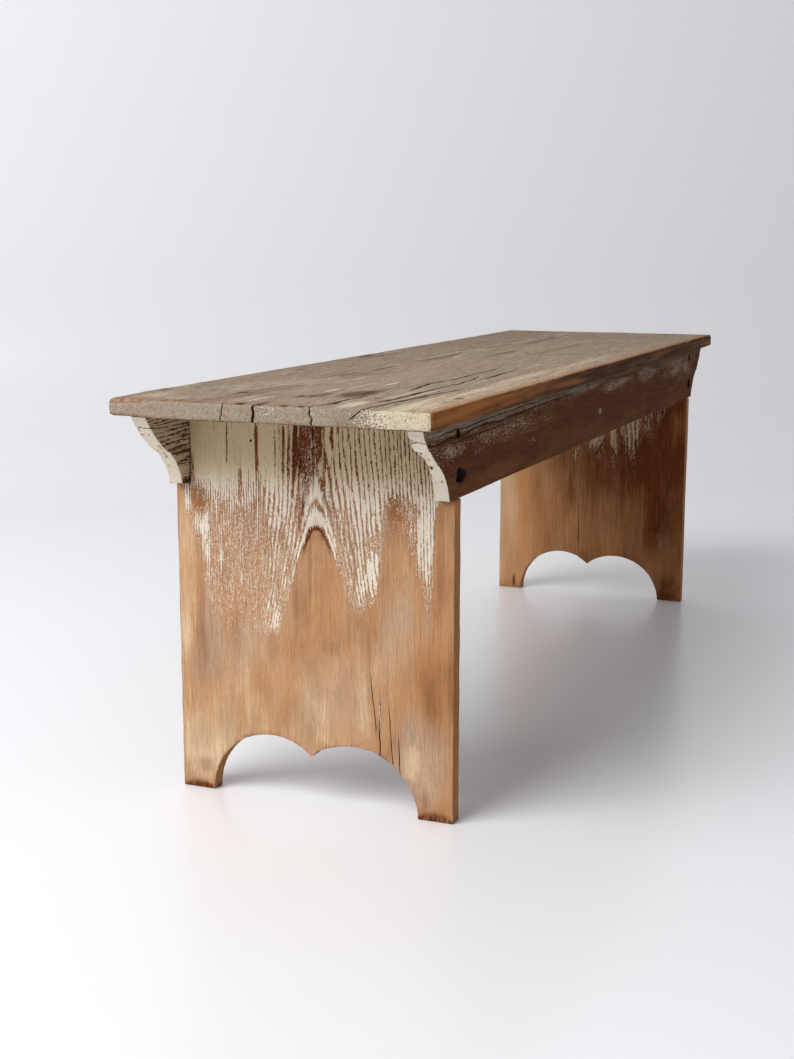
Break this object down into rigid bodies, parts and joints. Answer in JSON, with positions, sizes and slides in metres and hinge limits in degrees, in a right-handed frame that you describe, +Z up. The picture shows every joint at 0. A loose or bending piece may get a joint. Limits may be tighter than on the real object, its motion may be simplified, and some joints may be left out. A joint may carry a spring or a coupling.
{
  "type": "bucket bench",
  "caption": "Low nailed plank bench: long seat board on two notched plank legs with double-arched feet, and an ogee-ended apron board along each side.",
  "frame": {"origin": "on the floor, under the middle of the seat plank's outline", "axes": "+Z up; X along the bench, with the worn seat corner's end at -X; Y across it, with the front apron at -Y"},
  "size_m": [1.282, 0.35, 0.432],
  "materials": {
    "seat_wood": "weathered bare wood, grey brown",
    "leg_wood": "bare pine with worn cream paint",
    "apron_wood": "dark weathered wood with traces of cream paint",
    "nail_steel": "rusty"
  },
  "bodies": {
    "root": {"seat_plank": "seat_wood", "left_leg": "leg_wood", "right_leg": "leg_wood", "front_apron": "apron_wood", "back_apron": "apron_wood", "seat_nails_left_leg": "nail_steel", "seat_nails_right_leg": "nail_steel", "seat_nails_front_apron": "nail_steel", "seat_nails_back_apron": "nail_steel", "front_left_apron_nails": "nail_steel", "front_right_apron_nails": "nail_steel", "back_left_apron_nails": "nail_steel", "back_right_apron_nails": "nail_steel"}
  },
  "joints": []
}
